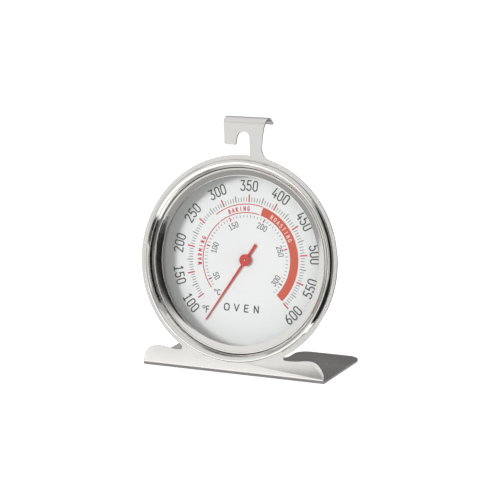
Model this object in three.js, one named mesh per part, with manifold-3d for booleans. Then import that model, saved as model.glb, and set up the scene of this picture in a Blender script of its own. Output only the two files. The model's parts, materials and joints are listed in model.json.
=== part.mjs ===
// Oven thermometer: a round bimetal dial in a drawn steel case, carried by one stamped and bent
// steel bracket with a hanging hook at the top and a foot at the bottom.
// Millimetres, +Z up, the dial faces -Y. The origin is on the underside of the foot, in its middle.
// Pieces of the head are drawn in the head's own frame: x across, y back into the case with 0 at the
// front face of the bracket, z up along the leaning bracket. One group turns and places that frame.
import * as THREE from 'three';
import { mergeVertices } from 'three/addons/utils/BufferGeometryUtils.js';
import Module from 'manifold-3d';

const wasm = await Module();
wasm.setup();

// ---- driving dimensions ----
const SHEET = 0.8;                 // bracket sheet
const LEAN = 8;                    // degrees, how far the bracket leans back
const AXIS_HEIGHT = 46.4;          // dial axis above the foot's underside, along the bracket
const RING_RADIUS = 43;            // bracket ring, outside
const WINDOW_RADIUS = 39.7;        // hole in the bracket that the case passes through
const FOOT_DEPTH = 44.8;
const FOOT_HALF_FRONT = 39.7;
const FOOT_HALF_REAR = 40.5;
const HEEL_RADIUS = 1.8;           // outer radius of the bend between foot and bracket
const HOOK_CREST = 104.9;          // top of the hook, along the bracket
const CREST_RADIUS = 3.5;          // outer radius of the bend over the hook
const LIP_LENGTH = 3.2;            // straight lip behind the hook's bend
const LIP_BEND = 120;              // degrees
const GAP = 0.3;                   // clearance between pieces that touch
const BEZEL_RADIUS = 41.3;         // 3 1/4 inch dial head
const APERTURE_RADIUS = 34.6;
const DIAL_FRONT = 9.5;            // depth of the dial's face
const DIAL_RADIUS = 37.5;
const DIAL_SHEET = 0.4;
const DIAL_BACK = DIAL_FRONT + DIAL_SHEET;
const LENS_FRONT = 2.3;
const LENS_THICKNESS = 1.8;
const LENS_RADIUS = 37.5;
const CASE_SHEET = 0.5;
const CASE_BACK = 17.4;            // outer face of the case's back
const ARBOR_RADIUS = 0.65;
const BEZEL_FRONT = -2.3;          // crest of the bezel, ahead of the bracket's face
const BEZEL_SHEET = 0.35;
const LIP_REACH = 0.8;             // depth of the bezel's inner lip and of the cup's flange step
const ARBOR_BACK = 17.6;
const ARBOR_PLAY = 0.15;           // radial room of the pieces pressed on the arbor
const POINTER_ANGLE = -147.8;      // degrees clockwise from the top, at room temperature
const POINTER_LENGTH = 30.8;
const TAIL_LENGTH = 8;
const POINTER_SHEET = 0.3;
const POINTER_FRONT = 8.7;
const HUB_RADIUS = 2.45;
const HUB_HEIGHT = 0.75;
const BRIDGE_FRONT = 10.8;         // strap across the case that carries the front bush
const BRIDGE_SHEET = 0.6;
const BRIDGE_LEG = 17.5;           // half the strap's inside length
const BRIDGE_REAR = CASE_BACK - CASE_SHEET - GAP;
const BRIDGE_HALF_WIDTH = 3;
const RIVET_X = 21;                // bridge rivets, left and right of the axis
const ANCHOR_Z = 16.5;             // coil anchor's rivet, below the axis
const RIVET_HOLE = 1.3;            // radii
const BUSH_HOLE = 2.1;
const BUSH_FLANGE = 3;
const COIL_FRONT = 12.2;
const COIL_WIDTH = 3.4;
const COIL_STRIP = 0.4;
const COIL_INNER = 2.7;
const COIL_OUTER = 13;
const COIL_TURNS = 6;
const ROUND = 72;                  // facets round the large rings

const radians = THREE.MathUtils.degToRad;

// ---- materials ----
const metal = (colour, roughness) =>
  new THREE.MeshStandardMaterial({ color: colour, metalness: 1, roughness });
const paint = (colour, roughness) =>
  new THREE.MeshStandardMaterial({ color: colour, metalness: 0, roughness });
const steel = () => metal(0xd2d2cc, 0.32);
const caseSteel = () => metal(0xb9b9b4, 0.4);
const rivetSteel = () => metal(0xc4c4be, 0.35);
const arborSteel = () => metal(0xd9d6cc, 0.3);
const brass = () => metal(0xc9a24b, 0.35);
const coilStrip = () => metal(0xa88f6a, 0.4);
const dialEnamel = () => paint(0xf2f3f2, 0.45);
const pointerRed = () => paint(0xc23a32, 0.4);
const clearGlass = () => new THREE.MeshStandardMaterial({
  color: 0xf4f8f6, metalness: 0, roughness: 0.05, transparent: true, opacity: 0.2,
});

// ---- solids ----
const toSolid = (geometry) => {
  const bare = geometry.clone();
  bare.deleteAttribute('normal');
  bare.deleteAttribute('uv');
  const merged = mergeVertices(bare, 1e-5);
  return new wasm.Manifold(new wasm.Mesh({
    numProp: 3,
    vertProperties: new Float32Array(merged.attributes.position.array),
    triVerts: new Uint32Array(merged.index.array),
  }));
};

const toGeometry = (solid) => {
  const mesh = solid.getMesh();
  const geometry = new THREE.BufferGeometry();
  geometry.setAttribute('position', new THREE.BufferAttribute(new Float32Array(mesh.vertProperties), 3));
  geometry.setIndex(new THREE.BufferAttribute(new Uint32Array(mesh.triVerts), 1));
  geometry.computeVertexNormals();
  return geometry;
};

const cut = (geometry, ...tools) =>
  toGeometry(tools.reduce((solid, tool) => solid.subtract(toSolid(tool)), toSolid(geometry)));

// A body of revolution about the y axis. The profile lists [radius, y] in either sense; it starts and
// ends on the axis, or it closes on itself.
const turned = (profile, segments = ROUND) => {
  const points = profile.map(([radius, y]) => new THREE.Vector2(radius, y));
  if (THREE.ShapeUtils.isClockWise(points)) points.reverse();
  if (points[0].x > 0) points.push(points[0].clone());
  return new THREE.LatheGeometry(points, segments);
};

// A washer or tube of square section, and a plain disc or pin.
const sleeve = (inner, outer, front, back, segments = ROUND) =>
  turned([[inner, front], [outer, front], [outer, back], [inner, back]], segments);
const disc = (radius, front, back, segments = 32) =>
  turned([[0, front], [radius, front], [radius, back], [0, back]], segments);

// A flat outline drawn in x and z, given thickness from front to back along y.
const flat = (shape, front, back, curveSegments = 12) => {
  const geometry = new THREE.ExtrudeGeometry(shape, {
    depth: back - front, bevelEnabled: false, curveSegments,
  });
  return geometry.rotateX(Math.PI / 2).translate(0, back, 0);
};

const mesh = (name, geometry, material) => {
  const part = new THREE.Mesh(geometry, material);
  part.name = name;
  return part;
};

// ---- stand bracket ----
// The sheet's middle line in side view, walked from the rear of the foot: straight runs and bends.
const BEND_STEP = 6;               // degrees to a facet
const sheetLine = (start, runs) => {
  const points = [start.clone()];
  const place = start.clone();
  let heading = Math.PI;
  for (const { straight, bend, radius } of runs) {
    if (straight) {
      place.add(new THREE.Vector2(Math.cos(heading), Math.sin(heading)).multiplyScalar(straight));
      points.push(place.clone());
      continue;
    }
    const steps = Math.ceil(bend / BEND_STEP);
    const turn = radians(bend) / steps;
    const chord = 2 * radius * Math.sin(turn / 2);
    for (let step = 0; step < steps; step += 1) {
      heading -= turn / 2;
      place.add(new THREE.Vector2(Math.cos(heading), Math.sin(heading)).multiplyScalar(chord));
      heading -= turn / 2;
      points.push(place.clone());
    }
  }
  return points;
};

// The middle line given its thickness, as an outline with mitred corners.
const thickened = (line, thickness) => {
  const side = (sign) => line.map((point, i) => {
    const before = point.clone().sub(line[Math.max(i - 1, 0)]);
    const after = line[Math.min(i + 1, line.length - 1)].clone().sub(point);
    if (i === 0) before.copy(after);
    if (i === line.length - 1) after.copy(before);
    const normal = before.normalize().add(after.normalize()).normalize();
    const mitre = thickness / 2 / normal.dot(after);
    return point.clone().add(new THREE.Vector2(-normal.y, normal.x).multiplyScalar(sign * mitre));
  });
  return new THREE.Shape([...side(1), ...side(-1).reverse()]);
};

const heelTangent = HEEL_RADIUS * Math.tan(radians(90 + LEAN) / 2);
const bentSheet = () => {
  const line = sheetLine(new THREE.Vector2(FOOT_DEPTH, SHEET / 2), [
    { straight: FOOT_DEPTH - heelTangent },
    { bend: 90 + LEAN, radius: HEEL_RADIUS - SHEET / 2 },
    { straight: HOOK_CREST - CREST_RADIUS - heelTangent },
    { bend: LIP_BEND, radius: CREST_RADIUS - SHEET / 2 },
    { straight: LIP_LENGTH },
  ]);
  const spare = 2;
  const width = 2 * (RING_RADIUS + spare);
  const geometry = new THREE.ExtrudeGeometry(thickened(line, SHEET), { depth: width, bevelEnabled: false });
  // The section is drawn in y and z and runs along x.
  const frame = new THREE.Matrix4().set(0, 0, 1, -width / 2, 1, 0, 0, 0, 0, 1, 0, 0, 0, 0, 0, 1);
  return geometry.applyMatrix4(frame);
};

// Front outline of the bracket: shoulders over the foot, ring, stem and hook. It is drawn once round,
// anticlockwise, and runs past the sheet's bends below and above.
const bracketOutline = () => {
  const below = -4;
  const above = HOOK_CREST + 3;
  const shoulderHalf = FOOT_HALF_FRONT;
  const shoulderTop = 8.9;
  const shoulderCorner = 5.8;
  const humpEnd = shoulderHalf - 9;
  const valleyStart = shoulderHalf - 10;
  const valley = 8.1;
  const crotch = 1;                // radius between a shoulder and the ring
  const crotchX = Math.sqrt((RING_RADIUS + crotch) ** 2 - (AXIS_HEIGHT - valley - crotch) ** 2);
  const crotchAngle = Math.atan2(AXIS_HEIGHT - valley - crotch, crotchX);
  const stemRight = 7.95;
  const stemFillet = 5;
  const filletZ = AXIS_HEIGHT
    + Math.sqrt((RING_RADIUS + stemFillet) ** 2 - (stemRight + stemFillet) ** 2);
  const filletAngle = Math.atan2(filletZ - AXIS_HEIGHT, stemRight + stemFillet);
  const stemLeft = 3.1;
  const stemLeftAngle = Math.acos(stemLeft / RING_RADIUS);
  const crestHalf = 9.4;           // the hook is widest over its crest
  const notchX = -0.3;
  const notchZ = 96;
  const notchRadius = 2.75;
  const legBottom = 93.25;
  const legLeft = -8.5;
  const legRight = -3.3;

  const shape = new THREE.Shape();
  shape.moveTo(-shoulderHalf, below);
  shape.lineTo(shoulderHalf, below);
  shape.lineTo(shoulderHalf, shoulderTop - shoulderCorner);
  shape.absarc(shoulderHalf - shoulderCorner, shoulderTop - shoulderCorner, shoulderCorner, 0, Math.PI / 2);
  shape.bezierCurveTo(humpEnd, shoulderTop, valleyStart, valley, crotchX + crotch, valley);
  shape.absarc(crotchX, valley + crotch, crotch, -Math.PI / 2, Math.PI - crotchAngle, true);
  shape.absarc(0, AXIS_HEIGHT, RING_RADIUS, -crotchAngle, filletAngle);
  shape.absarc(stemRight + stemFillet, filletZ, stemFillet, filletAngle - Math.PI, -Math.PI, true);
  shape.bezierCurveTo(stemRight, notchZ + 4, stemRight + 0.7, HOOK_CREST - 3, crestHalf, HOOK_CREST - 0.5);
  shape.lineTo(crestHalf, above);
  shape.lineTo(-crestHalf, above);
  shape.lineTo(-crestHalf, HOOK_CREST - 1);
  shape.bezierCurveTo(-crestHalf, notchZ + 5, legLeft - 0.1, notchZ + 3, legLeft, legBottom + 1);
  shape.quadraticCurveTo(legLeft, legBottom, legLeft + 1, legBottom);
  shape.lineTo(legRight - 0.8, legBottom);
  shape.quadraticCurveTo(legRight, legBottom, legRight, legBottom + 0.8);
  shape.lineTo(notchX - notchRadius, notchZ);
  shape.absarc(notchX, notchZ, notchRadius, Math.PI, 0, true);
  shape.lineTo(stemLeft, AXIS_HEIGHT + RING_RADIUS * Math.sin(stemLeftAngle));
  shape.absarc(0, AXIS_HEIGHT, RING_RADIUS, stemLeftAngle, Math.PI + crotchAngle);
  shape.absarc(-crotchX, valley + crotch, crotch, crotchAngle, -Math.PI / 2, true);
  shape.bezierCurveTo(-valleyStart, valley, -humpEnd, shoulderTop,
    -shoulderHalf + shoulderCorner, shoulderTop);
  shape.absarc(-shoulderHalf + shoulderCorner, shoulderTop - shoulderCorner, shoulderCorner,
    Math.PI / 2, Math.PI);
  return shape;
};

// Foot seen from above: a blade as wide as the bracket with a bay in the middle of its rear edge.
const footOutline = () => {
  const corner = 6;
  const bayHalf = 12;
  const bayFront = 29;
  const bayCorner = 5.5;
  const rear = FOOT_DEPTH;
  const shape = new THREE.Shape();
  shape.moveTo(-FOOT_HALF_FRONT, -2);
  shape.lineTo(FOOT_HALF_FRONT, -2);
  shape.lineTo(FOOT_HALF_REAR, rear - corner);
  shape.absarc(FOOT_HALF_REAR - corner, rear - corner, corner, 0, Math.PI / 2);
  shape.absarc(bayHalf + bayCorner, rear - bayCorner, bayCorner, Math.PI / 2, Math.PI);
  shape.absarc(bayHalf - bayCorner, bayFront + bayCorner, bayCorner, 0, -Math.PI / 2, true);
  shape.absarc(-bayHalf + bayCorner, bayFront + bayCorner, bayCorner, -Math.PI / 2, -Math.PI, true);
  shape.absarc(-bayHalf - bayCorner, rear - bayCorner, bayCorner, 0, Math.PI / 2);
  shape.absarc(-FOOT_HALF_REAR + corner, rear - corner, corner, Math.PI / 2, Math.PI);
  return shape;
};

const standBracket = () => {
  const lean = new THREE.Matrix4().makeRotationX(-radians(LEAN));
  const front = flat(bracketOutline(), -1, 6, 24).applyMatrix4(lean);
  const lipWidth = 18.8;
  const lipDepth = 9;
  const lipHeight = 8;
  const lip = new THREE.BoxGeometry(lipWidth, lipDepth, lipHeight)
    .translate(0, 7, HOOK_CREST - 1.5)
    .applyMatrix4(lean);
  const foot = new THREE.ExtrudeGeometry(footOutline(), { depth: 4, bevelEnabled: false, curveSegments: 8 })
    .translate(0, 0, -1);
  const window = disc(WINDOW_RADIUS, -3, 3, 96).translate(0, 0, AXIS_HEIGHT).applyMatrix4(lean);
  const blank = toSolid(front).add(toSolid(lip)).add(toSolid(foot)).subtract(toSolid(window));
  return mesh('stand_bracket', toGeometry(toSolid(bentSheet()).intersect(blank)), steel());
};

// ---- case and window ----
// Drawn cup: flange under the bezel, tapered wall, ledge for the dial, narrower chamber for the coil,
// and a back with a seat for the rear bush, two rivet holes and a ring of vents.
const caseCup = () => {
  const inside = CASE_BACK - CASE_SHEET;
  const ledge = DIAL_BACK + GAP;
  const ventCount = 8;
  const ventRadius = 1.8;
  const ventCircle = 26;
  const rivetHole = () => disc(RIVET_HOLE, inside - 2, CASE_BACK + 2, 20);
  const cup = turned([
    [BUSH_HOLE, inside], [31.5, inside], [33, inside - 1.5], [34.4, ledge + 0.6], [35, ledge], [38, ledge],
    [38.6, 0], [38.9, -1.2], [40.5, -1.2], [40.5, -LIP_REACH], [39.4, -LIP_REACH], [39.1, 0],
    [38.5, ledge + CASE_SHEET], [35.3, ledge + CASE_SHEET], [33.5, inside - 1.3], [31.9, CASE_BACK],
    [BUSH_HOLE, CASE_BACK],
  ]);
  const vents = Array.from({ length: ventCount }, (_, i) => {
    const angle = (i + 0.5) * 2 * Math.PI / ventCount;
    return disc(ventRadius, inside - 2, CASE_BACK + 2, 20)
      .translate(ventCircle * Math.cos(angle), 0, ventCircle * Math.sin(angle));
  });
  const rivetHoles = [-RIVET_X, RIVET_X].map((x) => rivetHole().translate(x, 0, 0));
  const anchorHole = rivetHole().translate(0, 0, -ANCHOR_Z);
  return mesh('case_cup', cut(cup, ...vents, ...rivetHoles, anchorHole), steel());
};

// Rolled bezel: hem under the cup's flange, outer wall, rounded crest, inner lip down to the lens ring.
const bezelRing = () => mesh('bezel_ring', turned([
  [39.8, -2 * BEZEL_SHEET], [39.8, -BEZEL_SHEET], [BEZEL_RADIUS - 0.2, -BEZEL_SHEET],
  [BEZEL_RADIUS, -0.6], [41.15, -1.6], [40.7, -2.1], [39.8, BEZEL_FRONT], [39, -2.05], [38.5, -1.3],
  [38.1, LIP_REACH], [38.4, LIP_REACH], [38.85, -1.2], [39.3, -1.8], [39.8, BEZEL_FRONT + BEZEL_SHEET],
  [40.5, -1.8], [40.95, -1], [40.85, -2 * BEZEL_SHEET],
]), steel());

// Window ring: a bead against the bezel's lip and a shallow cone down to the aperture.
const lensRing = () => mesh('lens_ring', turned([
  [38, 1.3], [37.85, 1.1], [37.6, 1.02], [37.35, 1.1], [37.1, 1.3], [APERTURE_RADIUS, 1.75],
  [APERTURE_RADIUS, 2.0], [38, 1.95],
]), steel());

const lensGlass = () => mesh('lens_glass',
  disc(LENS_RADIUS, LENS_FRONT, LENS_FRONT + LENS_THICKNESS, ROUND), clearGlass());

// Open collar between the lens and the dial's rim.
const spacerRing = () => mesh('spacer_ring',
  sleeve(37, 37.6, LENS_FRONT + LENS_THICKNESS + GAP, DIAL_FRONT - GAP), steel());

// Collar pressed on the cup behind the bracket, which holds the head in its window.
const COLLAR_WIDTH = 1.6;
const headCollar = () => mesh('head_collar',
  sleeve(39.4, 40.2, SHEET + GAP, SHEET + GAP + COLLAR_WIDTH), steel());

const DIAL_BORE = 1.6;
const dialPlate = () => mesh('dial_plate',
  sleeve(DIAL_BORE, DIAL_RADIUS, DIAL_FRONT, DIAL_BACK), dialEnamel());

// ---- movement ----
// Bridge: a strap across the case behind the dial, its feet riveted to the case back.
const bridge = () => {
  const footEnd = 23.5;
  const shape = new THREE.Shape([
    [-footEnd, BRIDGE_REAR], [-footEnd, BRIDGE_REAR - BRIDGE_SHEET],
    [-BRIDGE_LEG - BRIDGE_SHEET, BRIDGE_REAR - BRIDGE_SHEET], [-BRIDGE_LEG - BRIDGE_SHEET, BRIDGE_FRONT],
    [BRIDGE_LEG + BRIDGE_SHEET, BRIDGE_FRONT], [BRIDGE_LEG + BRIDGE_SHEET, BRIDGE_REAR - BRIDGE_SHEET],
    [footEnd, BRIDGE_REAR - BRIDGE_SHEET], [footEnd, BRIDGE_REAR], [BRIDGE_LEG, BRIDGE_REAR],
    [BRIDGE_LEG, BRIDGE_FRONT + BRIDGE_SHEET], [-BRIDGE_LEG, BRIDGE_FRONT + BRIDGE_SHEET],
    [-BRIDGE_LEG, BRIDGE_REAR],
  ].map(([x, y]) => new THREE.Vector2(x, y)));
  const strap = new THREE.ExtrudeGeometry(shape, { depth: 2 * BRIDGE_HALF_WIDTH, bevelEnabled: false })
    .translate(0, 0, -BRIDGE_HALF_WIDTH);
  const holes = [-RIVET_X, RIVET_X].map((x) =>
    disc(RIVET_HOLE, BRIDGE_REAR - 2, CASE_BACK, 20).translate(x, 0, 0));
  const bushHole = disc(BUSH_HOLE, BRIDGE_FRONT - 1, BRIDGE_FRONT + BRIDGE_SHEET + 1, 24);
  return mesh('movement_bridge', cut(strap, ...holes, bushHole), caseSteel());
};

// A rivet along y: shank, a low head in front and a domed head behind the case.
const rivet = (name, x, z, headFront) => {
  const back = CASE_BACK + GAP;
  const shank = 1;
  const head = 1.9;
  const headHeight = 0.6;
  const body = turned([
    [0, headFront - headHeight], [head, headFront - headHeight], [head, headFront], [shank, headFront],
    [shank, back], [2.2, back], [2.1, back + 0.4], [1.6, back + 0.8], [0.8, back + 1], [0, back + 1.05],
  ], 24);
  return mesh(name, body.translate(x, 0, z), rivetSteel());
};

// Flanged bush in the bridge, in front of the coil.
const frontBush = () => {
  const front = DIAL_BACK + 0.2;
  const back = BRIDGE_FRONT + BRIDGE_SHEET + GAP;
  return mesh('front_bush', turned([
    [ARBOR_RADIUS + GAP, front], [BUSH_FLANGE, front], [BUSH_FLANGE, BRIDGE_FRONT - GAP],
    [BUSH_HOLE - GAP, BRIDGE_FRONT - GAP], [BUSH_HOLE - GAP, back], [ARBOR_RADIUS + GAP, back],
  ], 32), brass());
};

// Blind bush in the case back, domed outside.
const rearBush = () => {
  const inside = CASE_BACK - CASE_SHEET;
  const front = 16.1;
  const boreEnd = ARBOR_BACK + 0.4;
  const seat = CASE_BACK + GAP;
  const dome = boreEnd + 0.8;
  return mesh('rear_bush', turned([
    [0, boreEnd], [ARBOR_RADIUS + GAP, boreEnd], [ARBOR_RADIUS + GAP, front], [BUSH_FLANGE, front],
    [BUSH_FLANGE, inside - GAP], [BUSH_HOLE - GAP, inside - GAP], [BUSH_HOLE - GAP, seat], [2.8, seat],
    [2.6, dome - 0.5], [1.6, dome - 0.1], [0, dome],
  ], 32), brass());
};

const HUB_FRONT = POINTER_FRONT - 0.2 - HUB_HEIGHT;
const arbor = () => mesh('arbor', disc(ARBOR_RADIUS, HUB_FRONT - 0.1, ARBOR_BACK, 24), arborSteel());

const COLLET_RADIUS = 2.3;
const coilCollet = () => mesh('coil_collet',
  sleeve(ARBOR_RADIUS + ARBOR_PLAY, COLLET_RADIUS, COIL_FRONT, COIL_FRONT + COIL_WIDTH, 32), brass());

// Thin washer between the front bush and the collet.
const thrustWasher = () => mesh('thrust_washer',
  sleeve(ARBOR_RADIUS + ARBOR_PLAY, 1.7, COIL_FRONT - 0.3, COIL_FRONT - 0.15, 32), brass());

// Spiral strip: radius grows evenly with angle from the collet to the anchor at the bottom.
const bimetalCoil = () => {
  const stepsPerTurn = 24;
  const steps = COIL_TURNS * stepsPerTurn;
  const edge = (offset) => Array.from({ length: steps + 1 }, (_, i) => {
    const part = i / steps;
    const angle = -Math.PI / 2 - (1 - part) * COIL_TURNS * 2 * Math.PI;
    const radius = COIL_INNER + (COIL_OUTER - COIL_INNER) * part + offset;
    return new THREE.Vector2(radius * Math.cos(angle), radius * Math.sin(angle));
  });
  const shape = new THREE.Shape([...edge(COIL_STRIP / 2), ...edge(-COIL_STRIP / 2).reverse()]);
  return mesh('bimetal_coil', flat(shape, COIL_FRONT, COIL_FRONT + COIL_WIDTH), coilStrip());
};

// Angle post that holds the coil's outer end, riveted to the case back.
const coilAnchor = () => {
  const wall = COIL_OUTER + COIL_STRIP / 2 + GAP;
  const width = 4;
  const footLength = 5.4;
  const postSheet = 0.5;
  const foot = new THREE.BoxGeometry(width, BRIDGE_SHEET, footLength)
    .translate(0, BRIDGE_REAR - BRIDGE_SHEET / 2, -wall - footLength / 2);
  const post = new THREE.BoxGeometry(width, BRIDGE_REAR - COIL_FRONT, postSheet)
    .translate(0, (BRIDGE_REAR + COIL_FRONT) / 2, -wall - postSheet / 2);
  const joined = toSolid(foot).add(toSolid(post));
  const hole = disc(RIVET_HOLE, BRIDGE_REAR - 2, CASE_BACK, 20).translate(0, 0, -ANCHOR_Z);
  return mesh('coil_anchor', toGeometry(joined.subtract(toSolid(hole))), caseSteel());
};

// ---- pointer ----
// Drawn pointing up, then turned clockwise about the arbor to its place.
const pointerBlade = () => {
  const rootHalf = 0.52;
  const tipHalf = 0.2;
  const tailHalf = 0.6;
  const outline = new THREE.Shape([
    [-tailHalf, -TAIL_LENGTH], [tailHalf, -TAIL_LENGTH], [tailHalf, 0], [rootHalf, 0],
    [tipHalf, POINTER_LENGTH], [-tipHalf, POINTER_LENGTH], [-rootHalf, 0], [-tailHalf, 0],
  ].map(([x, z]) => new THREE.Vector2(x, z)));
  const eye = disc(HUB_RADIUS - 0.1, POINTER_FRONT, POINTER_FRONT + POINTER_SHEET, 48);
  const blade = toSolid(flat(outline, POINTER_FRONT, POINTER_FRONT + POINTER_SHEET)).add(toSolid(eye));
  const bore = disc(ARBOR_RADIUS + ARBOR_PLAY, POINTER_FRONT - 1, POINTER_FRONT + 1, 24);
  return mesh('pointer_blade', toGeometry(blade.subtract(toSolid(bore))), pointerRed());
};

// Cap in front of the blade's eye.
const pointerHub = () => {
  const bore = ARBOR_RADIUS + ARBOR_PLAY;
  const back = HUB_FRONT + HUB_HEIGHT;
  return mesh('pointer_hub', turned([
    [bore, HUB_FRONT], [HUB_RADIUS - 0.55, HUB_FRONT], [HUB_RADIUS - 0.15, HUB_FRONT + 0.08],
    [HUB_RADIUS, HUB_FRONT + 0.25], [HUB_RADIUS, back], [bore, back],
  ], 48), pointerRed());
};

// ---- assembly ----
const head = new THREE.Group();
head.position.set(0, 0, AXIS_HEIGHT);
head.add(
  caseCup(), bezelRing(), lensRing(), lensGlass(), spacerRing(), headCollar(), dialPlate(), bridge(),
  rivet('bridge_rivet_left', -RIVET_X, 0, BRIDGE_REAR - BRIDGE_SHEET - GAP),
  rivet('bridge_rivet_right', RIVET_X, 0, BRIDGE_REAR - BRIDGE_SHEET - GAP),
  rivet('anchor_rivet', 0, -ANCHOR_Z, BRIDGE_REAR - BRIDGE_SHEET - GAP),
  frontBush(), rearBush(), arbor(), coilCollet(), thrustWasher(), bimetalCoil(), coilAnchor(),
);
const pointer = new THREE.Group();
pointer.rotation.y = radians(POINTER_ANGLE);
pointer.add(pointerBlade(), pointerHub());
head.add(pointer);

const leaning = new THREE.Group();
leaning.rotation.x = -radians(LEAN);
leaning.add(head);

const thermometer = new THREE.Group();
thermometer.position.set(0, -FOOT_DEPTH / 2, 0);
thermometer.add(standBracket(), leaning);

export default thermometer;
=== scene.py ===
"""Oven thermometer: finishes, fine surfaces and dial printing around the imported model.

Sizes are in millimetres in the head's own frame: x across, y back into the case with 0 at the front
face of the bracket, z up along the leaning bracket, all from the dial's axis. head_to_world turns
them into the model's frame in metres.
"""
import json
import math

import bmesh
import bpy
import numpy as np
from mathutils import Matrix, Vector


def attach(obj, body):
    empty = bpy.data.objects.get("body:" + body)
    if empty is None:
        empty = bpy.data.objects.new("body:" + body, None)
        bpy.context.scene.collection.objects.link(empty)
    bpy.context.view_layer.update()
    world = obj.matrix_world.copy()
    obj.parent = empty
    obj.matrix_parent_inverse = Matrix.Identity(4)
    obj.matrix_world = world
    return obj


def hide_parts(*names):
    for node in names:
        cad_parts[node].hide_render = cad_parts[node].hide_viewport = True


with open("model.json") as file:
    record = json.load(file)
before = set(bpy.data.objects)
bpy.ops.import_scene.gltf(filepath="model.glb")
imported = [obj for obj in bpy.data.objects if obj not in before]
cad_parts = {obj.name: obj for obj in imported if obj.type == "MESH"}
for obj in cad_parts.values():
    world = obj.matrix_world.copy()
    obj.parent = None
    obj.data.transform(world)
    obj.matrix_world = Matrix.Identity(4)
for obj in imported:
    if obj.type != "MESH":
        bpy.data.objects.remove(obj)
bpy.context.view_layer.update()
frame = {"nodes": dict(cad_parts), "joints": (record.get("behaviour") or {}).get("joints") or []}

MM = 0.001
STAND = "case_and_stand"
POINTER = "pointer"

# ---- the head's frame, from the pointer's joint ----
joint = frame["joints"][0]
PIVOT_DEPTH = 9.0
BACK = np.array(joint["axis"], float)
RIGHT = np.array([1.0, 0.0, 0.0])
UP = np.cross(RIGHT, BACK)
HEAD = np.array(joint["pos_m"], float) - BACK * PIVOT_DEPTH * MM
LEAN = math.atan2(UP[1], UP[2])


def head_to_world(points):
    """Place in the model: the axis point plus x along RIGHT, y along BACK and z along UP."""
    points = np.asarray(points, float)
    return HEAD + MM * (points[..., :1] * RIGHT + points[..., 1:2] * BACK + points[..., 2:] * UP)


# ---- head sizes ----
BEZEL_RADIUS = 41.3
BEAD_CENTRE = 37.38       # the window ring's bead: its radius, its depth and half its round section
BEAD_DEPTH = 0.85
BEAD_HALF = 0.36
BEAD_HEIGHT = 0.12
FLANGE_RADIUS = 38.2      # the window ring's flange, in the groove under the bezel's lip
FLANGE_FRONT = 1.75
FLANGE_BACK = 1.95
APERTURE_RADIUS = 34.6
LENS_FRONT = 2.3
LENS_BACK = 4.1
LENS_RADIUS = 37.5
DIAL_FRONT = 9.5
DIAL_BACK = 9.9
DIAL_RADIUS = 37.5
DIAL_HOLE = 1.6
RING_GAP = 0.3            # between the spacer and what it keeps apart

# ---- how finely and how softly the pieces are made ----
TURN_STEPS = 240          # faces round a ring of the head
MERGE_DISTANCE = 1e-6     # metres
FLAT_ANGLE = 0.5          # degrees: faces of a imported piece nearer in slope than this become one
EDGE_ANGLE = 50           # degrees: only edges sharper than this are eased
LONGEST_ROUNDING = 0.45   # share of a side that one rounded corner may use


# ---- meshes ----
def add_mesh(name, points, faces, finish, replaced=(), body=STAND, smooth=40.0):
    """A piece from points in the model's frame; edges over `smooth` degrees stay crisp."""
    mesh = bpy.data.meshes.new(name)
    mesh.from_pydata(np.asarray(points, float).reshape(-1, 3).tolist(), [], faces)
    return add_piece(name, mesh, finish, replaced, body, smooth)


def add_piece(name, mesh, finish, replaced=(), body=STAND, smooth=40.0):
    """Finish a mesh as a piece: material, shading, body and the nodes it stands for."""
    mesh.update()
    mesh.materials.clear()
    mesh.materials.append(finish)
    mesh.shade_smooth()
    mesh.set_sharp_from_angle(angle=math.radians(smooth))
    piece = bpy.data.objects.new(name, mesh)
    bpy.context.scene.collection.objects.link(piece)
    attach(piece, body)
    if replaced:
        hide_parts(*replaced)
    return piece


def grid_faces(rows, columns, close_rows=False, close_columns=False, first=0):
    """Quads of a rows by columns grid of points, in row order, joined round where it closes."""
    i = np.arange(rows if close_rows else rows - 1)[:, None]
    j = np.arange(columns if close_columns else columns - 1)[None, :]
    a = i * columns + j
    b = i * columns + (j + 1) % columns
    c = (i + 1) % rows * columns + (j + 1) % columns
    d = (i + 1) % rows * columns + j
    return (np.stack([a, b, c, d], -1).reshape(-1, 4) + first).tolist()


def rounded(outline, radius, steps=4):
    """A closed outline with each corner swung round.

    Each is a quadratic curve that starts and ends `radius` from the corner, or nearer on a short side.
    """
    outline = np.asarray(outline, float)
    before, after = np.roll(outline, 1, 0) - outline, np.roll(outline, -1, 0) - outline
    ends = []
    for side in (before, after):
        length = np.linalg.norm(side, axis=1)[:, None]
        ends.append(outline + side / length * np.minimum(radius, length * LONGEST_ROUNDING))
    start, end = ends
    t = np.linspace(0, 1, steps + 1)[None, :, None]
    curve = (1 - t) ** 2 * start[:, None] + 2 * t * (1 - t) * outline[:, None] + t ** 2 * end[:, None]
    return curve.reshape(-1, 2)


def area_of(outline):
    """Signed area of a closed outline, positive when it runs anticlockwise."""
    x, y = outline.T
    return 0.5 * float(np.sum(x * np.roll(y, -1) - y * np.roll(x, -1)))


def ring_points(profile, turns):
    """Point at (i, j): radius r_j and depth y_j of the profile, turned to angle 2 pi i / turns."""
    angle = np.arange(turns)[:, None] * 2 * math.pi / turns
    radius, depth = profile[:, 0][None, :], profile[:, 1][None, :]
    return np.stack([radius * np.sin(angle), depth + 0 * angle, radius * np.cos(angle)], -1)


def turned_ring(name, profile, finish, replaced, body=STAND, turns=TURN_STEPS):
    """A closed profile of (radius, depth) carried once round the dial's axis."""
    if area_of(profile) > 0:
        profile = profile[::-1]
    faces = grid_faces(turns, len(profile), True, True)
    return add_mesh(name, head_to_world(ring_points(profile, turns)), faces, finish, replaced, body)


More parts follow.
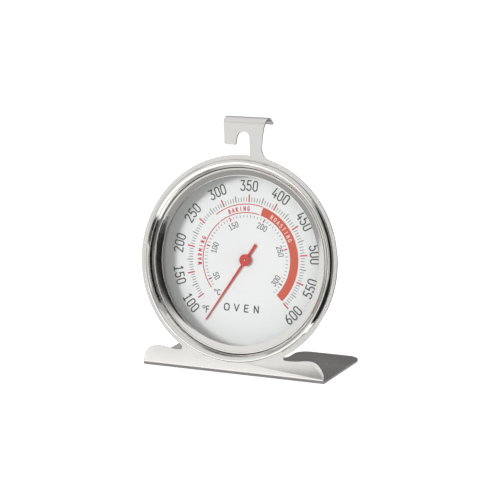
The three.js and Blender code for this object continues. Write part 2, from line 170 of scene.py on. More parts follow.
def turned_disc(name, profile, finish, replaced, body=STAND, turns=TURN_STEPS):
    """A profile that starts and ends on the axis, front to back, carried round it; each end is a pole."""
    points = ring_points(profile[1:-1], turns)
    poles = np.array([[0, profile[0, 1], 0], [0, profile[-1, 1], 0]])
    count = len(profile) - 2
    front, back = turns * count, turns * count + 1
    around = [(i, (i + 1) % turns) for i in range(turns)]
    faces = [face[::-1] for face in grid_faces(turns, count, True, False)]
    faces += [(front, j * count, i * count)[::-1] for i, j in around]
    faces += [(back, i * count + count - 1, j * count + count - 1)[::-1] for i, j in around]
    points = np.concatenate([points.reshape(-1, 3), poles])
    return add_mesh(name, head_to_world(points), faces, finish, replaced, body)


def dressed(node, finish, body=STAND, edge=0.0):
    """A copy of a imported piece, its doubles merged, smooth on its bends, its edges eased by `edge`."""
    mesh = frame["nodes"][node].data.copy()
    shape = bmesh.new()
    shape.from_mesh(mesh)
    bmesh.ops.remove_doubles(shape, verts=shape.verts, dist=MERGE_DISTANCE)
    flat = math.radians(FLAT_ANGLE)
    bmesh.ops.dissolve_limit(shape, angle_limit=flat, verts=shape.verts, edges=shape.edges)
    shape.to_mesh(mesh)
    shape.free()
    piece = add_piece(node + "_skin", mesh, finish, (node,), body, smooth=35.0)
    if edge:
        bevel = piece.modifiers.new("eased edges", "BEVEL")
        bevel.width = edge * MM
        bevel.segments = 2
        bevel.limit_method = "ANGLE"
        bevel.angle_limit = math.radians(EDGE_ANGLE)
        bevel.harden_normals = True
    return piece


# ---- materials ----
class Signal:
    """An output of a node; arithmetic on it adds Math nodes."""

    def __init__(self, finish, socket):
        self.finish = finish
        self.socket = socket

    def maths(self, operation, *others):
        return self.finish.add("ShaderNodeMath", {"operation": operation}, [self, *others])

    def __add__(self, other):
        return self.maths("ADD", other)

    def __sub__(self, other):
        return self.maths("SUBTRACT", other)

    def __rsub__(self, other):
        return self.finish.add("ShaderNodeMath", {"operation": "SUBTRACT"}, [other, self])

    def __mul__(self, other):
        return self.maths("MULTIPLY", other)

    def __truediv__(self, other):
        return self.maths("DIVIDE", other)

    __radd__ = __add__
    __rmul__ = __mul__


class Finish:
    """One material: a Principled shader with its constants, and the nodes that feed it."""

    def __init__(self, name, **constants):
        self.material = bpy.data.materials.new(name)
        self.material.use_nodes = True
        self.tree = self.material.node_tree
        self.shader = self.tree.nodes["Principled BSDF"]
        for label, value in constants.items():
            self.shader.inputs[label.replace("_", " ").title().replace("Ior", "IOR")].default_value = value

    def add(self, kind, settings=None, inputs=(), output=0):
        """Add a node, set it up, then give its sockets values or links; returns one output."""
        node = self.tree.nodes.new(kind)
        for label, value in (settings or {}).items():
            if label == "stops":
                while len(node.color_ramp.elements) < len(value):
                    node.color_ramp.elements.new(1)
                for element, (place, shade) in zip(node.color_ramp.elements, value):
                    element.position = place
                    element.color = shade
            else:
                setattr(node, label, value)
        pairs = inputs.items() if isinstance(inputs, dict) else enumerate(inputs)
        for label, value in pairs:
            self.feed(node.inputs[label], value)
        return Signal(self, node.outputs[output])

    def feed(self, socket, value):
        """Link a signal to a socket, or set a plain value on it."""
        if isinstance(value, Signal):
            self.tree.links.new(value.socket, socket)
        else:
            socket.default_value = value

    def head_place(self):
        """The point's place in the head's frame, in millimetres."""
        place = self.add("ShaderNodeTexCoord", output="Object")
        return self.add("ShaderNodeMapping", {"vector_type": "TEXTURE"}, {
            "Vector": place, "Location": tuple(HEAD), "Rotation": (-LEAN, 0, 0), "Scale": (MM, MM, MM)})

    def parts(self, vector):
        """The x, y and z of a vector."""
        return [self.add("ShaderNodeSeparateXYZ", None, [vector], axis) for axis in range(3)]

    def vector(self, x, y, z):
        return self.add("ShaderNodeCombineXYZ", None, [x, y, z])

    def noise(self, vector, scale=1.0, detail=3.0, roughness=0.6):
        return self.add("ShaderNodeTexNoise", None, {
            "Vector": vector, "Scale": scale, "Detail": detail, "Roughness": roughness})

    def mix(self, factor, first, second):
        """A colour between two, by a factor from 0 to 1."""
        return self.add("ShaderNodeMix", {"data_type": "RGBA"}, {0: factor, 6: first, 7: second}, 2)

    def colour(self, value):
        self.feed(self.shader.inputs["Base Color"], value)

    def roughness(self, value):
        self.feed(self.shader.inputs["Roughness"], value)

    def bump(self, height, distance):
        """Relief of `distance` millimetres for a height of one."""
        self.feed(self.shader.inputs["Normal"], self.add("ShaderNodeBump", None, {
            "Strength": 1.0, "Distance": distance * MM, "Height": height}))


def opaque(tint, share=1.0):
    """A colour at a share of its brightness."""
    return tuple(channel * share for channel in tint) + (1.0,)


DRAWN_OUT = 30
ROUND_SCALE = 4.0         # size of the noise round the axis: a brush line lasts about a quarter radian


def steel(name, tint, base, spun, fine=9.0, grain=0.05, painted_shade_from=None):
    """Satin steel with brush lines: up the sheet, or round the axis where it was spun.

    The lines are noise, `fine` to the millimetre across the brushing and drawn out along it. A second,
    cloudy noise varies the shine slowly. Past the radius given for painted shade, where a ring runs under
    its neighbour, its colour is painted near-black: painted shade in the groove.
    """
    made = Finish(name, metallic=1.0)
    place = made.head_place()
    x, y, z = made.parts(place)
    if spun:
        radius = (x * x + z * z).maths("POWER", 0.5)
        lines = made.vector(x / radius * ROUND_SCALE, z / radius * ROUND_SCALE, (radius + y) * fine)
    else:
        lines = made.vector(x * fine, y * (fine / DRAWN_OUT), z * (fine / DRAWN_OUT))
    brush = made.noise(lines, 1.0, 4.0, 0.65)
    clouds = made.noise(place, 0.09, 2.0, 0.5)
    shade = made.mix(brush * 0.6 + clouds * 0.4, opaque(tint, 0.9), opaque(tint))
    # painted shade: past the given radius the colour turns near-black, standing in for the shade in the
    # groove under the next ring
    if painted_shade_from:
        shade = made.mix(radius.maths("GREATER_THAN", painted_shade_from), shade, opaque((0.02, 0.02, 0.02)))
    made.colour(shade)
    made.roughness(base + (brush - 0.5) * grain * 2 + (clouds - 0.5) * 0.08)
    made.bump(brush, 0.002)
    return made.material


def painted(name, tint, base):
    """Baked enamel: one colour with a faint drift, and the fine orange peel of a sprayed coat."""
    made = Finish(name)
    place = made.head_place()
    drift = made.noise(place, 0.15, 2.0, 0.5)
    peel = made.noise(place, 5.0, 2.0, 0.5)
    made.colour(made.mix(drift, opaque(tint, 0.97), opaque(tint)))
    made.roughness(base + (peel - 0.5) * 0.08)
    made.bump(peel, 0.003)
    return made.material


def metal(name, tint, base):
    """Turned or pressed metal with a fine cloudy variation."""
    made = Finish(name, metallic=1.0)
    place = made.head_place()
    clouds = made.noise(place, 1.2, 4.0, 0.6)
    made.colour(made.mix(clouds, opaque(tint, 0.82), opaque(tint)))
    made.roughness(base + (clouds - 0.5) * 0.15)
    made.bump(clouds, 0.01)
    return made.material


def glass(name):
    """Clear window glass: nearly all see-through, with a sharp shine and the faintest haze."""
    made = Finish(name, ior=1.5, alpha=0.05)
    made.colour(opaque((0.4, 0.42, 0.41)))
    haze = made.noise(made.head_place(), 0.2, 2.0, 0.5)
    made.roughness(0.02 + haze * 0.03)
    return made.material


BRIGHT = (0.80, 0.79, 0.76)
# the window ring's colour is painted near-black past this radius: painted shade in the groove under the
# bezel's lip
PAINTED_SHADE_RADIUS = BEAD_CENTRE + BEAD_HALF + 0.005
BRACKET_STEEL = steel("bracket steel", BRIGHT, 0.25, False, fine=7.0, grain=0.03)
SPUN_STEEL = steel("spun steel", BRIGHT, 0.11, True, grain=0.03)
WINDOW_STEEL = steel("window ring steel", BRIGHT, 0.09, True, grain=0.03, painted_shade_from=PAINTED_SHADE_RADIUS)
CASE_STEEL = steel("case steel", (0.66, 0.655, 0.63), 0.3, True)
RIVET_STEEL = metal("rivet steel", (0.7, 0.7, 0.68), 0.32)
BRASS = metal("brass", (0.76, 0.60, 0.32), 0.3)
COIL_STRIP = metal("coil strip", (0.60, 0.50, 0.38), 0.35)
ARBOR_STEEL = metal("arbor steel", (0.86, 0.80, 0.72), 0.2)
DIAL_WHITE = painted("dial white", (0.83, 0.84, 0.835), 0.42)
POINTER_RED = painted("pointer red", (0.56, 0.03, 0.018), 0.45)
CLEAR = glass("window glass")
INK_GREY = painted("dark grey ink", (0.045, 0.047, 0.048), 0.7)
INK_SOFT = painted("soft grey ink", (0.1, 0.1, 0.1), 0.7)
INK_RED = painted("red ink", (0.55, 0.02, 0.012), 0.7)
INK_DEEP = painted("deep red ink", (0.22, 0.012, 0.01), 0.7)
INK_BAND = painted("orange red ink", (0.6, 0.085, 0.04), 0.7)
INK_WHITE = painted("white ink", (0.82, 0.68, 0.62), 0.6)

# ---- bracket and case ----
dressed("stand_bracket", BRACKET_STEEL, edge=0.1)

bezel = rounded([
    # hem, outer wall and crest
    (39.8, -0.35), (BEZEL_RADIUS, -0.35), (BEZEL_RADIUS - 0.05, -0.8), (40.8, -1.65), (40.4, -1.95),
    # inner lip, down to the window ring
    (39.95, -1.95), (39.1, -1.3), (38.0, 0.12), (38.15, 0.3),
    # the sheet's inside, back to the hem
    (38.4, 0.25), (39.3, -1.0), (40.0, -1.55), (40.35, -1.5), (40.85, -0.8), (40.9, -0.7), (39.8, -0.7),
], 0.25)
turned_ring("bezel", bezel, SPUN_STEEL, ("bezel_ring",))

flange = [
    (FLANGE_RADIUS, FLANGE_BACK), (FLANGE_RADIUS, FLANGE_FRONT), (BEAD_CENTRE + BEAD_HALF, FLANGE_FRONT)]
turn = np.radians(np.linspace(0, 180, 13))
bead = np.stack([BEAD_CENTRE + BEAD_HALF * np.cos(turn), BEAD_DEPTH - BEAD_HEIGHT * np.sin(turn)], 1)
cone = [(37.0, 1.36), (36.75, 1.41), (36.5, 1.46), (35.7, 1.63), (34.8, 1.82), (APERTURE_RADIUS, 1.9)]
underside = [(APERTURE_RADIUS, 2.1), (38.0, 2.1)]
window_ring = np.concatenate([flange, bead, cone, underside])
turned_ring("window_ring", window_ring, WINDOW_STEEL, ("lens_ring",))

lens_half = np.array([
    (0, 0), (12, 0), (24, 0), (LENS_RADIUS - 0.2, 0), (LENS_RADIUS - 0.05, 0.06), (LENS_RADIUS, 0.2)])
lens = np.concatenate([lens_half + [0, LENS_FRONT], lens_half[::-1] * [1, -1] + [0, LENS_BACK]])
turned_disc("window_glass", lens, CLEAR, ("lens_glass",))

SPACER_FRONT = LENS_BACK + RING_GAP
SPACER_BACK = DIAL_FRONT - RING_GAP
spacer = rounded([
    (37.0, SPACER_FRONT), (37.6, SPACER_FRONT), (37.6, SPACER_BACK), (37.0, SPACER_BACK)], 0.1, 2)
turned_ring("spacer", spacer, CASE_STEEL, ("spacer_ring",))

dial = rounded([
    (DIAL_HOLE, DIAL_FRONT), (DIAL_RADIUS, DIAL_FRONT),
    (DIAL_RADIUS, DIAL_BACK), (DIAL_HOLE, DIAL_BACK)], 0.1, 2)
turned_ring("dial", dial, DIAL_WHITE, ("dial_plate",))

dressed("case_cup", CASE_STEEL, edge=0.08)
dressed("head_collar", CASE_STEEL, edge=0.1)
dressed("movement_bridge", CASE_STEEL, edge=0.08)
dressed("coil_anchor", CASE_STEEL, edge=0.08)
for name in ("bridge_rivet_left", "bridge_rivet_right", "anchor_rivet"):
    dressed(name, RIVET_STEEL)
for name in ("front_bush", "rear_bush"):
    dressed(name, BRASS)
for name in ("coil_collet", "thrust_washer"):
    dressed(name, BRASS, body=POINTER)
dressed("bimetal_coil", COIL_STRIP, body=POINTER)


# ---- pointer ----
REST_ANGLE = -147.8       # clockwise from the top of the dial
POINTER_FRONT = 8.7
POINTER_SHEET = 0.3
POINTER_LENGTH = 30.8
TIP_HALF = 0.2            # half widths: at the tip, where the blade leaves the eye, and of the tail
ROOT_HALF = 0.52
TAIL_HALF = 0.6
TAIL_LENGTH = 8.0
TAIL_SLANT = 0.4
PRESS_EASE = 0.06
HUB_RADIUS = 2.45
HUB_HEIGHT = 0.95
HUB_EYE = 0.42            # the hole that the pin's end stands in
HUB_SEAT = 0.72
PIN_RADIUS = 0.38
ARBOR_RADIUS = 0.65
PIN_FRONT = 7.65
ARBOR_FRONT = 8.2
ARBOR_BACK = 17.6


def turned_flat(points, angle):
    """Points (x, z) drawn for a pointer that points up, turned clockwise to its angle in degrees."""
    turn = math.radians(angle)
    x, z = np.asarray(points, float).T
    return np.stack([x * math.cos(turn) + z * math.sin(turn), z * math.cos(turn) - x * math.sin(turn)], 1)


def flat_piece(name, outline, front, back, finish, replaced, body):
    """A closed outline between two depths; its front edge is eased inwards along the outline's normal."""
    if area_of(outline) < 0:
        outline = outline[::-1]
    along = np.roll(outline, -1, 0) - np.roll(outline, 1, 0)
    normal = np.stack([-along[:, 1], along[:, 0]], 1) / np.linalg.norm(along, axis=1)[:, None]
    layers = [(0.0, back), (0.0, front + PRESS_EASE), (PRESS_EASE, front)]
    points = np.concatenate([
        np.stack([*(outline + normal * offset).T, np.full(len(outline), depth)], 1)
        for offset, depth in layers])[:, [0, 2, 1]]
    n = len(outline)
    faces = grid_faces(3, n, False, True)
    faces += [list(range(n))[::-1], list(range(2 * n, 3 * n))]
    return add_mesh(name, head_to_world(points), faces, finish, replaced, body)


def pointer_outline():
    """The blade pointing up: a round eye under the hub, a tapered blade above and a straight tail below."""
    eye = HUB_RADIUS - 0.1
    angles = np.radians(np.linspace(14.5, 165.5, 24))[1:-1]
    right_side = np.stack([eye * np.sin(angles), eye * np.cos(angles)], 1)
    root = math.sqrt(eye ** 2 - ROOT_HALF ** 2)
    tail_root = math.sqrt(eye ** 2 - TAIL_HALF ** 2)
    shoulder = POINTER_LENGTH - 0.4
    tip = TIP_HALF * 0.4
    return np.concatenate([
        [(-tip, POINTER_LENGTH), (tip, POINTER_LENGTH), (TIP_HALF, shoulder), (ROOT_HALF, root)],
        right_side,
        [(TAIL_HALF, -tail_root), (TAIL_HALF, -TAIL_LENGTH),
         (-TAIL_HALF, TAIL_SLANT - TAIL_LENGTH), (-TAIL_HALF, -tail_root)],
        (right_side * [-1, 1])[::-1],
        [(-ROOT_HALF, root), (-TIP_HALF, shoulder)]])


flat_piece("pointer_hand", turned_flat(pointer_outline(), REST_ANGLE), POINTER_FRONT,
           POINTER_FRONT + POINTER_SHEET, POINTER_RED, ("pointer_blade",), POINTER)

hub_front = POINTER_FRONT - HUB_HEIGHT
hub_back = hub_front + 0.75
hub = rounded([
    (HUB_EYE, hub_front + 0.06), (0.55, hub_front), (HUB_RADIUS - 0.45, hub_front),
    (HUB_RADIUS, hub_front + 0.18), (HUB_RADIUS, hub_back), (HUB_SEAT, hub_back),
    (HUB_SEAT, hub_front + 0.4), (HUB_EYE, hub_front + 0.4),
], 0.12, 3)
turned_ring("pointer_cap", hub, POINTER_RED, ("pointer_hub",), POINTER, 96)
pin = np.array([
    (0, PIN_FRONT), (0.2, PIN_FRONT + 0.01), (0.32, PIN_FRONT + 0.05), (PIN_RADIUS, PIN_FRONT + 0.15),
    (PIN_RADIUS, ARBOR_FRONT - 0.1), (PIN_RADIUS, ARBOR_FRONT), (0.62, ARBOR_FRONT + 0.02),
    (ARBOR_RADIUS, ARBOR_FRONT + 0.1), (ARBOR_RADIUS, ARBOR_BACK - 0.2), (0.55, ARBOR_BACK - 0.05),
    (0, ARBOR_BACK)])
turned_disc("arbor_pin", pin, ARBOR_STEEL, ("arbor",), POINTER, 48)

# ---- dial printing ----
DIGIT_WIDTH = 0.44        # in heights, as is every size of a character
LETTER_MIDDLE = 0.25
H = DIGIT_WIDTH / 2       # half a digit's width
CAP_WAY = np.array([0.95, 0.75, 0.4])[:, None]   # places along a stroke's round end, in half widths
SLIMMEST_MITRE = 0.45
SIGN_WEIGHT = 0.7         # the degree sign's stroke is lighter than its letter's
INK_HEIGHT = 0.03
INK_ROOT = 0.004          # ink starts this far ahead of the dial
INK_STEP = 0.0015         # neighbouring strokes differ by this, so that no two tops share a plane


def arc(cx, cy, rx, ry, start, end, steps=10):
    """Points on an ellipse from start to end degrees, anticlockwise from the right when it grows."""
    angle = np.radians(np.linspace(start, end, steps + 1))
    return np.stack([cx + rx * np.cos(angle), cy + ry * np.sin(angle)], 1).tolist()


GLYPHS = {
    "0": [arc(H, 1 - H, H, H, 0, 180) + arc(H, H, H, H, 180, 360) + [(DIGIT_WIDTH, 1 - H)]],
    "1": [[(0.06, 0.82), (0.25, 1.0), (0.25, 0.0)], [(0.07, 0.0), (0.43, 0.0)]],
    "2": [arc(H, 1 - H, H, H, 165, -30) + [(0.0, 0.0), (DIGIT_WIDTH, 0.0)]],
    "3": [[(0.02, 1.0), (0.42, 1.0), (0.2, 0.6)] + arc(0.19, 0.3, 0.25, 0.3, 80, -155)],
    "4": [[(0.22, 1.0), (0.0, 0.26), (DIGIT_WIDTH, 0.26)], [(0.34, 0.5), (0.34, 0.0)]],
    "5": [[(0.42, 1.0), (0.06, 1.0), (0.03, 0.56)] + arc(0.2, 0.31, 0.24, 0.31, 128, -155)],
    "6": [arc(H, 0.29, H, 0.29, 0, 360, 18), [(0.0, 0.29), (0.02, 0.5), (0.12, 0.76), (0.33, 1.0)]],
    "A": [[(0.0, 0.0), (0.25, 1.0), (0.5, 0.0)], [(0.09, 0.33), (0.41, 0.33)]],
    "B": [[(0.04, 0.0), (0.04, 1.0)], [(0.04, 1.0)] + arc(0.22, 0.76, 0.2, 0.24, 90, -90) + [(0.04, 0.52)],
          [(0.04, 0.52)] + arc(0.24, 0.26, 0.22, 0.26, 90, -90) + [(0.04, 0.0)]],
    "C": [arc(0.25, 0.72, 0.24, 0.28, 25, 180) + arc(0.25, 0.28, 0.24, 0.28, 180, 335)],
    "E": [[(0.44, 1.0), (0.05, 1.0), (0.05, 0.0), (0.44, 0.0)], [(0.05, 0.52), (0.38, 0.52)]],
    "F": [[(0.44, 1.0), (0.06, 1.0), (0.06, 0.0)], [(0.06, 0.52), (0.38, 0.52)]],
    "G": [arc(0.25, 0.72, 0.24, 0.28, 30, 180) + arc(0.25, 0.28, 0.24, 0.28, 180, 360)
          + [(0.49, 0.46), (0.28, 0.46)]],
    "I": [[(0.25, 0.0), (0.25, 1.0)]],
    "K": [[(0.04, 0.0), (0.04, 1.0)], [(0.46, 1.0), (0.05, 0.42)], [(0.18, 0.58), (0.48, 0.0)]],
    "M": [[(0.0, 0.0), (0.0, 1.0), (0.26, 0.4), (0.52, 1.0), (0.52, 0.0)]],
    "N": [[(0.04, 0.0), (0.04, 1.0), (0.46, 0.0), (0.46, 1.0)]],
    "O": [arc(0.25, 0.7, 0.25, 0.3, 0, 180) + arc(0.25, 0.3, 0.25, 0.3, 180, 360) + [(0.5, 0.7)]],
    "R": [[(0.04, 0.0), (0.04, 1.0)], [(0.04, 1.0)] + arc(0.22, 0.74, 0.22, 0.26, 90, -90) + [(0.04, 0.48)],
          [(0.22, 0.48), (0.46, 0.0)]],
    "S": [arc(0.24, 0.76, 0.22, 0.24, 35, 250, 12) + arc(0.25, 0.26, 0.23, 0.26, 75, -145, 12)],
    "T": [[(0.0, 1.0), (0.5, 1.0)], [(0.25, 1.0), (0.25, 0.0)]],
    "V": [[(0.0, 1.0), (0.25, 0.0), (0.5, 1.0)]],
    "W": [[(-0.06, 1.0), (0.1, 0.0), (0.25, 0.8), (0.4, 0.0), (0.56, 1.0)]],
    "degree": [arc(0.18, 0.83, 0.19, 0.19, 0, 360, 14)],
}


def ribbon(path, width):
    """A stroke of even width along a path, with half-round ends.

    At each point the two edges lie half the width along the mean of the neighbouring normals; past an
    end the half width shrinks as the square root of one minus the square of the way gone.
    """
    path = np.asarray(path, float)
    half = width / 2
    closed = np.linalg.norm(path[0] - path[-1]) < 1e-6
    if closed:
        path = path[:-1]
        step = np.roll(path, -1, 0) - path
        before = np.roll(step, 1, 0)
    else:
        step = np.diff(path, axis=0)
        before = np.concatenate([step[:1], step])
        step = np.concatenate([step, step[-1:]])
    unit = [side / np.linalg.norm(side, axis=1)[:, None] for side in (before, step)]
    along = unit[0] + unit[1]
    along /= np.linalg.norm(along, axis=1)[:, None]
    normal = np.stack([-along[:, 1], along[:, 0]], 1)
    mitre = half / np.maximum(np.sum(along * unit[1], 1), SLIMMEST_MITRE)[:, None]
    left, right = path + normal * mitre, path - normal * mitre
    if closed:
        return left, right, True
    thin = np.sqrt(1 - CAP_WAY ** 2)
    cap = [path[0] - half * (along[0] * CAP_WAY - side * normal[0] * thin) for side in (1, -1)]
    end = [path[-1] + half * (along[-1] * CAP_WAY + side * normal[-1] * thin)[::-1] for side in (1, -1)]
    return np.concatenate([cap[0], left, end[0]]), np.concatenate([cap[1], right, end[1]]), False


def square_ribbon(path, width):
    """A stroke of even width with square ends."""
    left, right, closed = ribbon(path, width)
    ends = 0 if closed else len(CAP_WAY)
    return left[ends:len(left) - ends], right[ends:len(right) - ends], closed


def print_ink(name, ribbons, finish, lift=0.0):
    """Ink on the dial: each ribbon is a thin box section carried along it, `lift` higher over other ink."""
    points, faces = [], []
    base = DIAL_FRONT - INK_ROOT
    for index, (left, right, closed) in enumerate(ribbons):
        top = DIAL_FRONT - INK_HEIGHT - lift - INK_STEP * (index % 5)
        n = len(left)
        section = [(left, top), (right, top), (right, base), (left, base)]
        layer = np.stack([
            np.stack([side[:, 0], np.full(n, depth), side[:, 1]], 1) for side, depth in section], 1)
        first = sum(len(block) for block in points)
        points.append(layer.reshape(-1, 3))
        faces += grid_faces(n, 4, closed, True, first)
        if not closed:
            faces += [[first + k for k in (3, 2, 1, 0)], [first + 4 * (n - 1) + k for k in (0, 1, 2, 3)]]
    return add_mesh(name, head_to_world(np.concatenate(points)), faces, finish, smooth=30)


def polar(radius, angle):
    """Place on the dial at a radius and an angle in degrees clockwise from the top."""
    turn = np.radians(angle)
    return np.stack([radius * np.sin(turn), radius * np.cos(turn)], -1)


def scale_angle(fahrenheit):
    """Pointer angle of a temperature, from the top: 27.5 degrees for each 50, a little less at the ends."""
    steps = (np.asarray(fahrenheit, float) - 350) / 50
    return -0.3 + 27.5 * steps + 0.075 * steps ** 2 - 0.048 * steps ** 3


def tick(angle, inner, outer, width):
    """A straight mark between two radii."""
    return square_ribbon(np.stack([polar(inner, angle), polar(outer, angle)]), width)


def split_at_corners(path, sharp=40.0):
    """The runs of a path between the places where it turns by more than `sharp` degrees."""
    step = np.diff(path, axis=0)
    heading = np.degrees(np.arctan2(step[:, 1], step[:, 0]))
    turn = np.abs((np.diff(heading) + 180) % 360 - 180)
    cuts = [0, *(np.flatnonzero(turn > sharp) + 1), len(path) - 1]
    return [path[first:last + 1] for first, last in zip(cuts[:-1], cuts[1:])]


def glyph_strokes(glyph, height, place, across, upwards, width):
    """The strokes of one character, centred on a place, along two unit directions."""
    middle = LETTER_MIDDLE if glyph.isalpha() and len(glyph) == 1 else DIGIT_WIDTH / 2
    strokes = []
    if glyph == "degree":
        width *= SIGN_WEIGHT
    for stroke in GLYPHS[glyph]:
        for run in split_at_corners(np.asarray(stroke, float)):
            local = (run - [middle, 0.5]) * height
            strokes.append(ribbon(place + local[:, :1] * across + local[:, 1:] * upwards, width))
    return strokes


def curved_text(text, radius, angle, height, pitch, width, outwards=True, aside=0.0):
    """Characters on a circle, tops outwards or inwards, `pitch` apart; the circle may sit `aside` in x."""
    strokes = []
    for index, glyph in enumerate(text):
        offset = (index - (len(text) - 1) / 2) * math.degrees(pitch / radius)
        at = angle + (offset if outwards else -offset)
        turn = math.radians(at)
        across = np.array([math.cos(turn), -math.sin(turn)])
        upwards = np.array([math.sin(turn), math.cos(turn)])
        sign = 1 if outwards else -1
        place = polar(radius, at) + [aside, 0]
        strokes += glyph_strokes(glyph, height, place, sign * across, sign * upwards, width)
    return strokes


def level_text(glyphs, x, z, height, pitch, width, stretch):
    """Characters in a level line about a centre, drawn wider than their usual shape by `stretch`."""
    strokes = []
    for index, glyph in enumerate(glyphs):
        place = np.array([x + (index - (len(glyphs) - 1) / 2) * pitch, z])
        strokes += glyph_strokes(glyph, height, place, np.array([stretch, 0.0]), np.array([0.0, 1.0]), width)
    return strokes


def arc_line(radius, start, end, width, steps=60):
    """A line, or a band, round the dial between two angles."""
    return square_ribbon(polar(radius, np.linspace(start, end, steps + 1)), width)


def celsius_angle(celsius):
    """Pointer angle of a temperature in degrees Celsius."""
    return scale_angle(celsius * 9 / 5 + 32)


def marks(angle_of, temperatures, inner, outer, width):
    """A tick at each temperature, between two radii."""
    return [tick(angle_of(t), inner, outer, width) for t in temperatures]


def numbers(angle_of, temperatures, upright, radius, height, pitch, width, aside):
    """Each temperature's number at its mark, top outwards from the first to the last `upright` one."""
    strokes = []
    for t in temperatures:
        outwards = upright[0] <= t <= upright[1]
        strokes += curved_text(str(t), radius, float(angle_of(t)), height, pitch, width, outwards, aside)
    return strokes


BAND_INNER = 19.33
BAND_OUTER = 22.93
LOW, HIGH = 100, 600
CELSIUS_LOW, CELSIUS_HIGH = 40, 315
fives = [t for t in range(LOW, HIGH, 5) if t % 25]
quarters = [t for t in range(LOW, HIGH, 25) if t % 50]
fifties = range(LOW, HIGH + 1, 50)
celsius_fives = [t for t in range(CELSIUS_LOW, CELSIUS_HIGH + 1, 5) if t % 50]
celsius_fifties = range(50, CELSIUS_HIGH, 50)

print_ink("print_tens", marks(scale_angle, fives, 23.95, 25.75, 0.24), INK_SOFT)
print_ink("print_quarters", marks(scale_angle, quarters, 23.8, 26.5, 0.32), INK_GREY)
print_ink("print_fifties", marks(scale_angle, fifties, 23.75, 26.9, 0.56), INK_RED)
print_ink("print_numerals", numbers(
    scale_angle, fifties, (200, 500), radius=30.5, height=4.0, pitch=2.75, width=0.52, aside=-0.3), INK_GREY)

print_ink("print_celsius_fives", marks(celsius_angle, celsius_fives, 17.5, 18.45, 0.24), INK_SOFT)
print_ink("print_celsius_ends", marks(celsius_angle, (50, 100, 300), 17.1, 18.75, 0.52), INK_DEEP)
print_ink("print_celsius_middles", marks(celsius_angle, (150, 200, 250), 17.1, 18.75, 0.52), INK_RED)
print_ink("print_celsius_numerals", numbers(
    celsius_angle, celsius_fifties, (100, 250), radius=15.2, height=2.25, pitch=1.56, width=0.3, aside=0.3),
    INK_GREY)

print_ink("print_zone_lines", [
    arc_line(19.37, -130.1, -41.0, 0.4),
    arc_line(BAND_OUTER, -39.3, 15.2, 0.36),
    arc_line(19.45, -39.6, 13.6, 0.36),
], INK_RED)
print_ink("print_roasting_band", [
    arc_line((BAND_INNER + BAND_OUTER) / 2, 15.8, 132.8, BAND_OUTER - BAND_INNER, steps=120)], INK_BAND)
warming = curved_text("WARMING", 20.9, -83.0, height=1.6, pitch=1.82, width=0.36)
baking = curved_text("BAKING", 21.05, -12.2, height=1.6, pitch=1.72, width=0.36)
roasting = curved_text("ROASTING", 20.95, 46.4, height=1.6, pitch=1.77, width=0.3)
print_ink("print_zone_words", warming + baking, INK_RED)
print_ink("print_roasting_word", roasting, INK_WHITE, lift=INK_HEIGHT)
celsius_sign = level_text(["degree", "C"], -12.2, -14.2, height=2.1, pitch=1.6, width=0.36, stretch=1.25)
fahrenheit_sign = level_text(["degree", "F"], -16.9, -21.7, height=2.6, pitch=1.6, width=0.42, stretch=1.15)
print_ink("print_unit_signs", celsius_sign + fahrenheit_sign, INK_GREY)
print_ink("print_title", level_text(
    "OVEN", -0.9, -19.9, height=2.75, pitch=4.4, width=0.5, stretch=1.5), INK_GREY)

# ---- studio, in metres ----
WORLD_GLOW = 0.48
FLOOR_SIZE = 120          # wide enough that its far edge lies on the horizon
FLOOR_DEPTH = 0.0002      # below the foot
CARD_DEPTH = 0.0001       # level cards lie between the foot and the floor


def board(name, tint, glow):
    """Matt board, a grey of a tint, with a white glow of its own."""
    made = Finish(name + " board", roughness=0.9, emission_strength=glow)
    made.shader.inputs["Emission Color"].default_value = (1.0, 1.0, 1.0, 1.0)
    made.colour((tint, tint, tint, 1.0))
    return made.material


def stage_sheet(name, centre, size, normal, material):
    """A flat rectangle of the studio, of a width and height, facing along a direction."""
    mesh = bpy.data.meshes.new(name)
    corners = np.array([(-1, -1, 0), (1, -1, 0), (1, 1, 0), (-1, 1, 0)]) * [size[0] / 2, size[1] / 2, 1]
    turn = np.array(Vector(normal).to_track_quat("Z", "Y").to_matrix())
    mesh.from_pydata((corners @ turn.T + np.array(centre)).tolist(), [], [(0, 1, 2, 3)])
    mesh.materials.append(material)
    made = bpy.data.objects.new(name, mesh)
    bpy.context.scene.collection.objects.link(made)
    return made


def only_in_reflections(made):
    """Hide a board from everything but shiny surfaces."""
    made.visible_camera = False
    made.visible_diffuse = False
    made.visible_transmission = False
    made.visible_shadow = False


def card(name, bearing, height, distance, size, tint=0.0, glow=0.0):
    """An upright board that only shows in reflections.

    It stands at a bearing in degrees from the dial's side, towards the right.
    """
    turn = math.radians(bearing)
    away = np.array([math.sin(turn), -math.cos(turn), 0.0])
    centre = away * distance + [0, 0, height]
    only_in_reflections(stage_sheet(name, centre, size, -away, board(name, tint, glow)))


def level_card(name, centre, size, facing, glow):
    """A glowing board that lies level, facing up for 1 or down for -1, and only shows in reflections."""
    only_in_reflections(stage_sheet(name, centre, size, (0, 0, facing), board(name, 0.0, glow)))


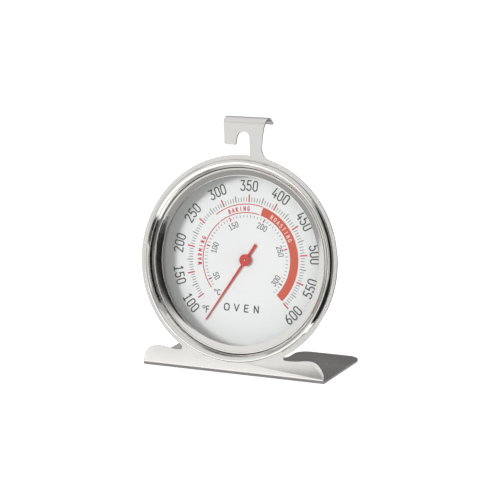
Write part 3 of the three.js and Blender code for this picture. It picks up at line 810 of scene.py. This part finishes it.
pale = board("floor", tint=0.95, glow=0.72)
floor = stage_sheet("floor", (0, 0, -FLOOR_DEPTH), (FLOOR_SIZE, FLOOR_SIZE), (0, 0, 1), pale)
floor.visible_diffuse = False
card("left_card", bearing=-43, height=0.25, distance=0.9, size=(1.2, 0.9), glow=0.94)
card("front_card", bearing=2, height=0.12, distance=0.75, size=(0.26, 0.5), tint=0.01)
card("side_card", bearing=42, height=0.15, distance=0.75, size=(0.3, 0.5), glow=0.8)
card("right_card", bearing=105, height=0.2, distance=0.5, size=(1.1, 0.6), tint=0.003)
card("rear_card", bearing=-178, height=0.08, distance=0.6, size=(0.56, 0.28), glow=0.05)
level_card("top_card", (-0.1, -0.2, 0.9), size=(1.6, 1.4), facing=-1, glow=0.85)
level_card("low_front_card", (-0.2, -0.52, -CARD_DEPTH), size=(1.2, 0.72), facing=1, glow=0.38)
level_card("low_rear_card", (-0.1, 0.29, -CARD_DEPTH), size=(0.8, 0.5), facing=1, glow=0.04)
level_card("low_right_card", (0.4, 0.0, -CARD_DEPTH), size=(0.69, 0.7), facing=1, glow=0.0)
# painted contact shadow: a dim board under the foot, seen only in reflections, darkens the heel's bend as if
# shaded where it meets the floor
level_card("contact_card", (0, 0, -CARD_DEPTH / 2), size=(0.086, 0.051), facing=1, glow=0.3)

world = bpy.data.worlds.new("studio")
bpy.context.scene.world = world
world.use_nodes = True
world.node_tree.nodes["Background"].inputs["Color"].default_value = (1.0, 1.0, 1.0, 1.0)
world.node_tree.nodes["Background"].inputs["Strength"].default_value = WORLD_GLOW
bpy.context.scene.view_settings.view_transform = "Standard"


def area_light(name, place, size, power):
    """A square soft lamp aimed at the middle of the object, kept out of shiny surfaces."""
    lamp = bpy.data.lights.new(name, "AREA")
    lamp.size = size
    lamp.energy = power
    made = bpy.data.objects.new(name, lamp)
    made.location = place
    made.rotation_euler = (Vector((0, 0, 0.05)) - Vector(place)).to_track_quat("-Z", "Y").to_euler()
    made.visible_glossy = False
    bpy.context.scene.collection.objects.link(made)


area_light("key", (-0.42, -0.95, 0.3), 0.3, 7.4)
area_light("fill", (0.6, -0.85, 0.3), 0.4, 1.6)

# ---- camera ----
AZIMUTH, ELEVATION = math.radians(23.07), math.radians(11.28)
DISTANCE = 0.6965
FOCAL_LENGTH = 125.2
FRONT_EDGE = -0.0224      # the foot's front edge; the camera aims at a point aside of its middle
ASIDE, AIM_HEIGHT = 0.00778, 0.05174
camera_back = Vector((math.sin(AZIMUTH) * math.cos(ELEVATION), -math.cos(AZIMUTH) * math.cos(ELEVATION),
                      math.sin(ELEVATION)))
aim = Vector((ASIDE * math.cos(AZIMUTH), ASIDE * math.sin(AZIMUTH) + FRONT_EDGE, AIM_HEIGHT))
lens_data = bpy.data.cameras.new("camera")
lens_data.lens = FOCAL_LENGTH
lens_data.sensor_width = 36.0
lens_data.clip_start = 0.01
camera = bpy.data.objects.new("camera", lens_data)
camera.location = aim + camera_back * DISTANCE
camera.rotation_euler = (-camera_back).to_track_quat("-Z", "Y").to_euler()
bpy.context.scene.collection.objects.link(camera)
bpy.context.scene.camera = camera
